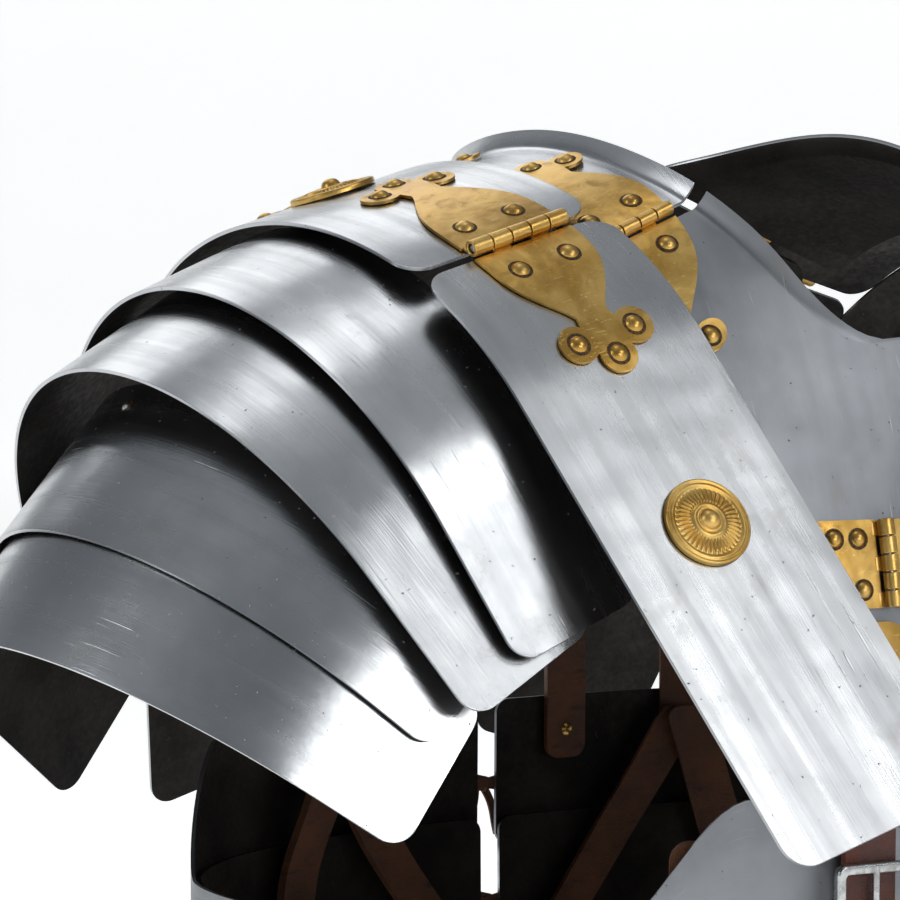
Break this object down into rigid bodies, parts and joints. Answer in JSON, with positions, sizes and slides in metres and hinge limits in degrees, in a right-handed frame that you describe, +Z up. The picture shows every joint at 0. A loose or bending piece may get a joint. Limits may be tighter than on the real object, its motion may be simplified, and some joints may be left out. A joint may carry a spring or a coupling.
{
  "type": "segmented plate cuirass",
  "caption": "Hooped steel plate cuirass with hinged upper shoulder guards, curved shoulder lames, a collar unit and a girdle, with lobed brass hinges and rosettes.",
  "frame": {"origin": "middle of the neck opening, at the height of the crown of the upper shoulder guards, where the shoulders carry the collar", "axes": "+Z up, the wearer faces -Y, the wearer's right shoulder is at -X"},
  "size_m": [0.519, 0.3532, 0.4534],
  "materials": {
    "steel": "polished bare steel, finely brushed along each plate, with small scratches",
    "brass": "warm worn brass, darker round the rivets",
    "leather": "dark red-brown smooth leather",
    "buckle_steel": "bright polished steel"
  },
  "bodies": {
    "cuirass": {"breastplate_right": "steel", "mid_collar_plate_right": "steel", "back_plate_upper_right": "steel", "back_plate_lower_right": "steel", "shoulder_top_plate_right": "steel", "shoulder_lame_1_right": "steel", "shoulder_lame_2_right": "steel", "shoulder_lame_3_right": "steel", "shoulder_lame_4_right": "steel", "girdle_hoop_1_right": "steel", "girdle_hoop_2_right": "steel", "girdle_hoop_3_right": "steel", "girdle_hoop_4_right": "steel", "girdle_hoop_5_right": "steel", "girdle_hoop_6_right": "steel", "collar_front_hinge_right": "brass", "collar_back_hinge_right": "brass", "shoulder_front_hinge_upper_right": "brass", "shoulder_back_hinge_upper_right": "brass", "rosette_top_right": "brass", "tie_plate_right": "brass", "shoulder_leather_right": "leather", "tie_strap_right": "leather", "tie_buckle_right": "buckle_steel", "chest_hinge_right": "brass", "breastplate_left": "steel", "mid_collar_plate_left": "steel", "back_plate_upper_left": "steel", "back_plate_lower_left": "steel", "shoulder_top_plate_left": "steel", "shoulder_lame_1_left": "steel", "shoulder_lame_2_left": "steel", "shoulder_lame_3_left": "steel", "shoulder_lame_4_left": "steel", "girdle_hoop_1_left": "steel", "girdle_hoop_2_left": "steel", "girdle_hoop_3_left": "steel", "girdle_hoop_4_left": "steel", "girdle_hoop_5_left": "steel", "girdle_hoop_6_left": "steel", "collar_front_hinge_left": "brass", "collar_back_hinge_left": "brass", "shoulder_front_hinge_upper_left": "brass", "shoulder_back_hinge_upper_left": "brass", "rosette_top_left": "brass", "tie_plate_left": "brass", "shoulder_leather_left": "leather", "tie_strap_left": "leather", "tie_buckle_left": "buckle_steel", "chest_hinge_left": "brass"},
    "front_guard_right": {"shoulder_front_plate_right": "steel", "shoulder_front_hinge_lower_right": "brass", "rosette_front_right": "brass"},
    "back_guard_right": {"shoulder_back_plate_right": "steel", "shoulder_back_hinge_lower_right": "brass"},
    "front_guard_left": {"shoulder_front_plate_left": "steel", "shoulder_front_hinge_lower_left": "brass", "rosette_front_left": "brass"},
    "back_guard_left": {"shoulder_back_plate_left": "steel", "shoulder_back_hinge_lower_left": "brass"}
  },
  "joints": [
    {"name": "front_guard_hinge_right", "type": "hinge", "parent": "cuirass", "child": "front_guard_right", "pos_m": [-0.11901, -0.06785, -0.01183], "axis": [-0.9622, 0, -0.2723], "range_deg": [0, 95]},
    {"name": "back_guard_hinge_right", "type": "hinge", "parent": "cuirass", "child": "back_guard_right", "pos_m": [-0.11462, 0.09038, -0.02735], "axis": [0.9622, 0, 0.2723], "range_deg": [0, 95]},
    {"name": "front_guard_hinge_left", "type": "hinge", "parent": "cuirass", "child": "front_guard_left", "pos_m": [0.11901, -0.06785, -0.01183], "axis": [-0.9622, 0, 0.2723], "range_deg": [0, 95]},
    {"name": "back_guard_hinge_left", "type": "hinge", "parent": "cuirass", "child": "back_guard_left", "pos_m": [0.11462, 0.09038, -0.02735], "axis": [0.9622, 0, -0.2723], "range_deg": [0, 95]}
  ]
}
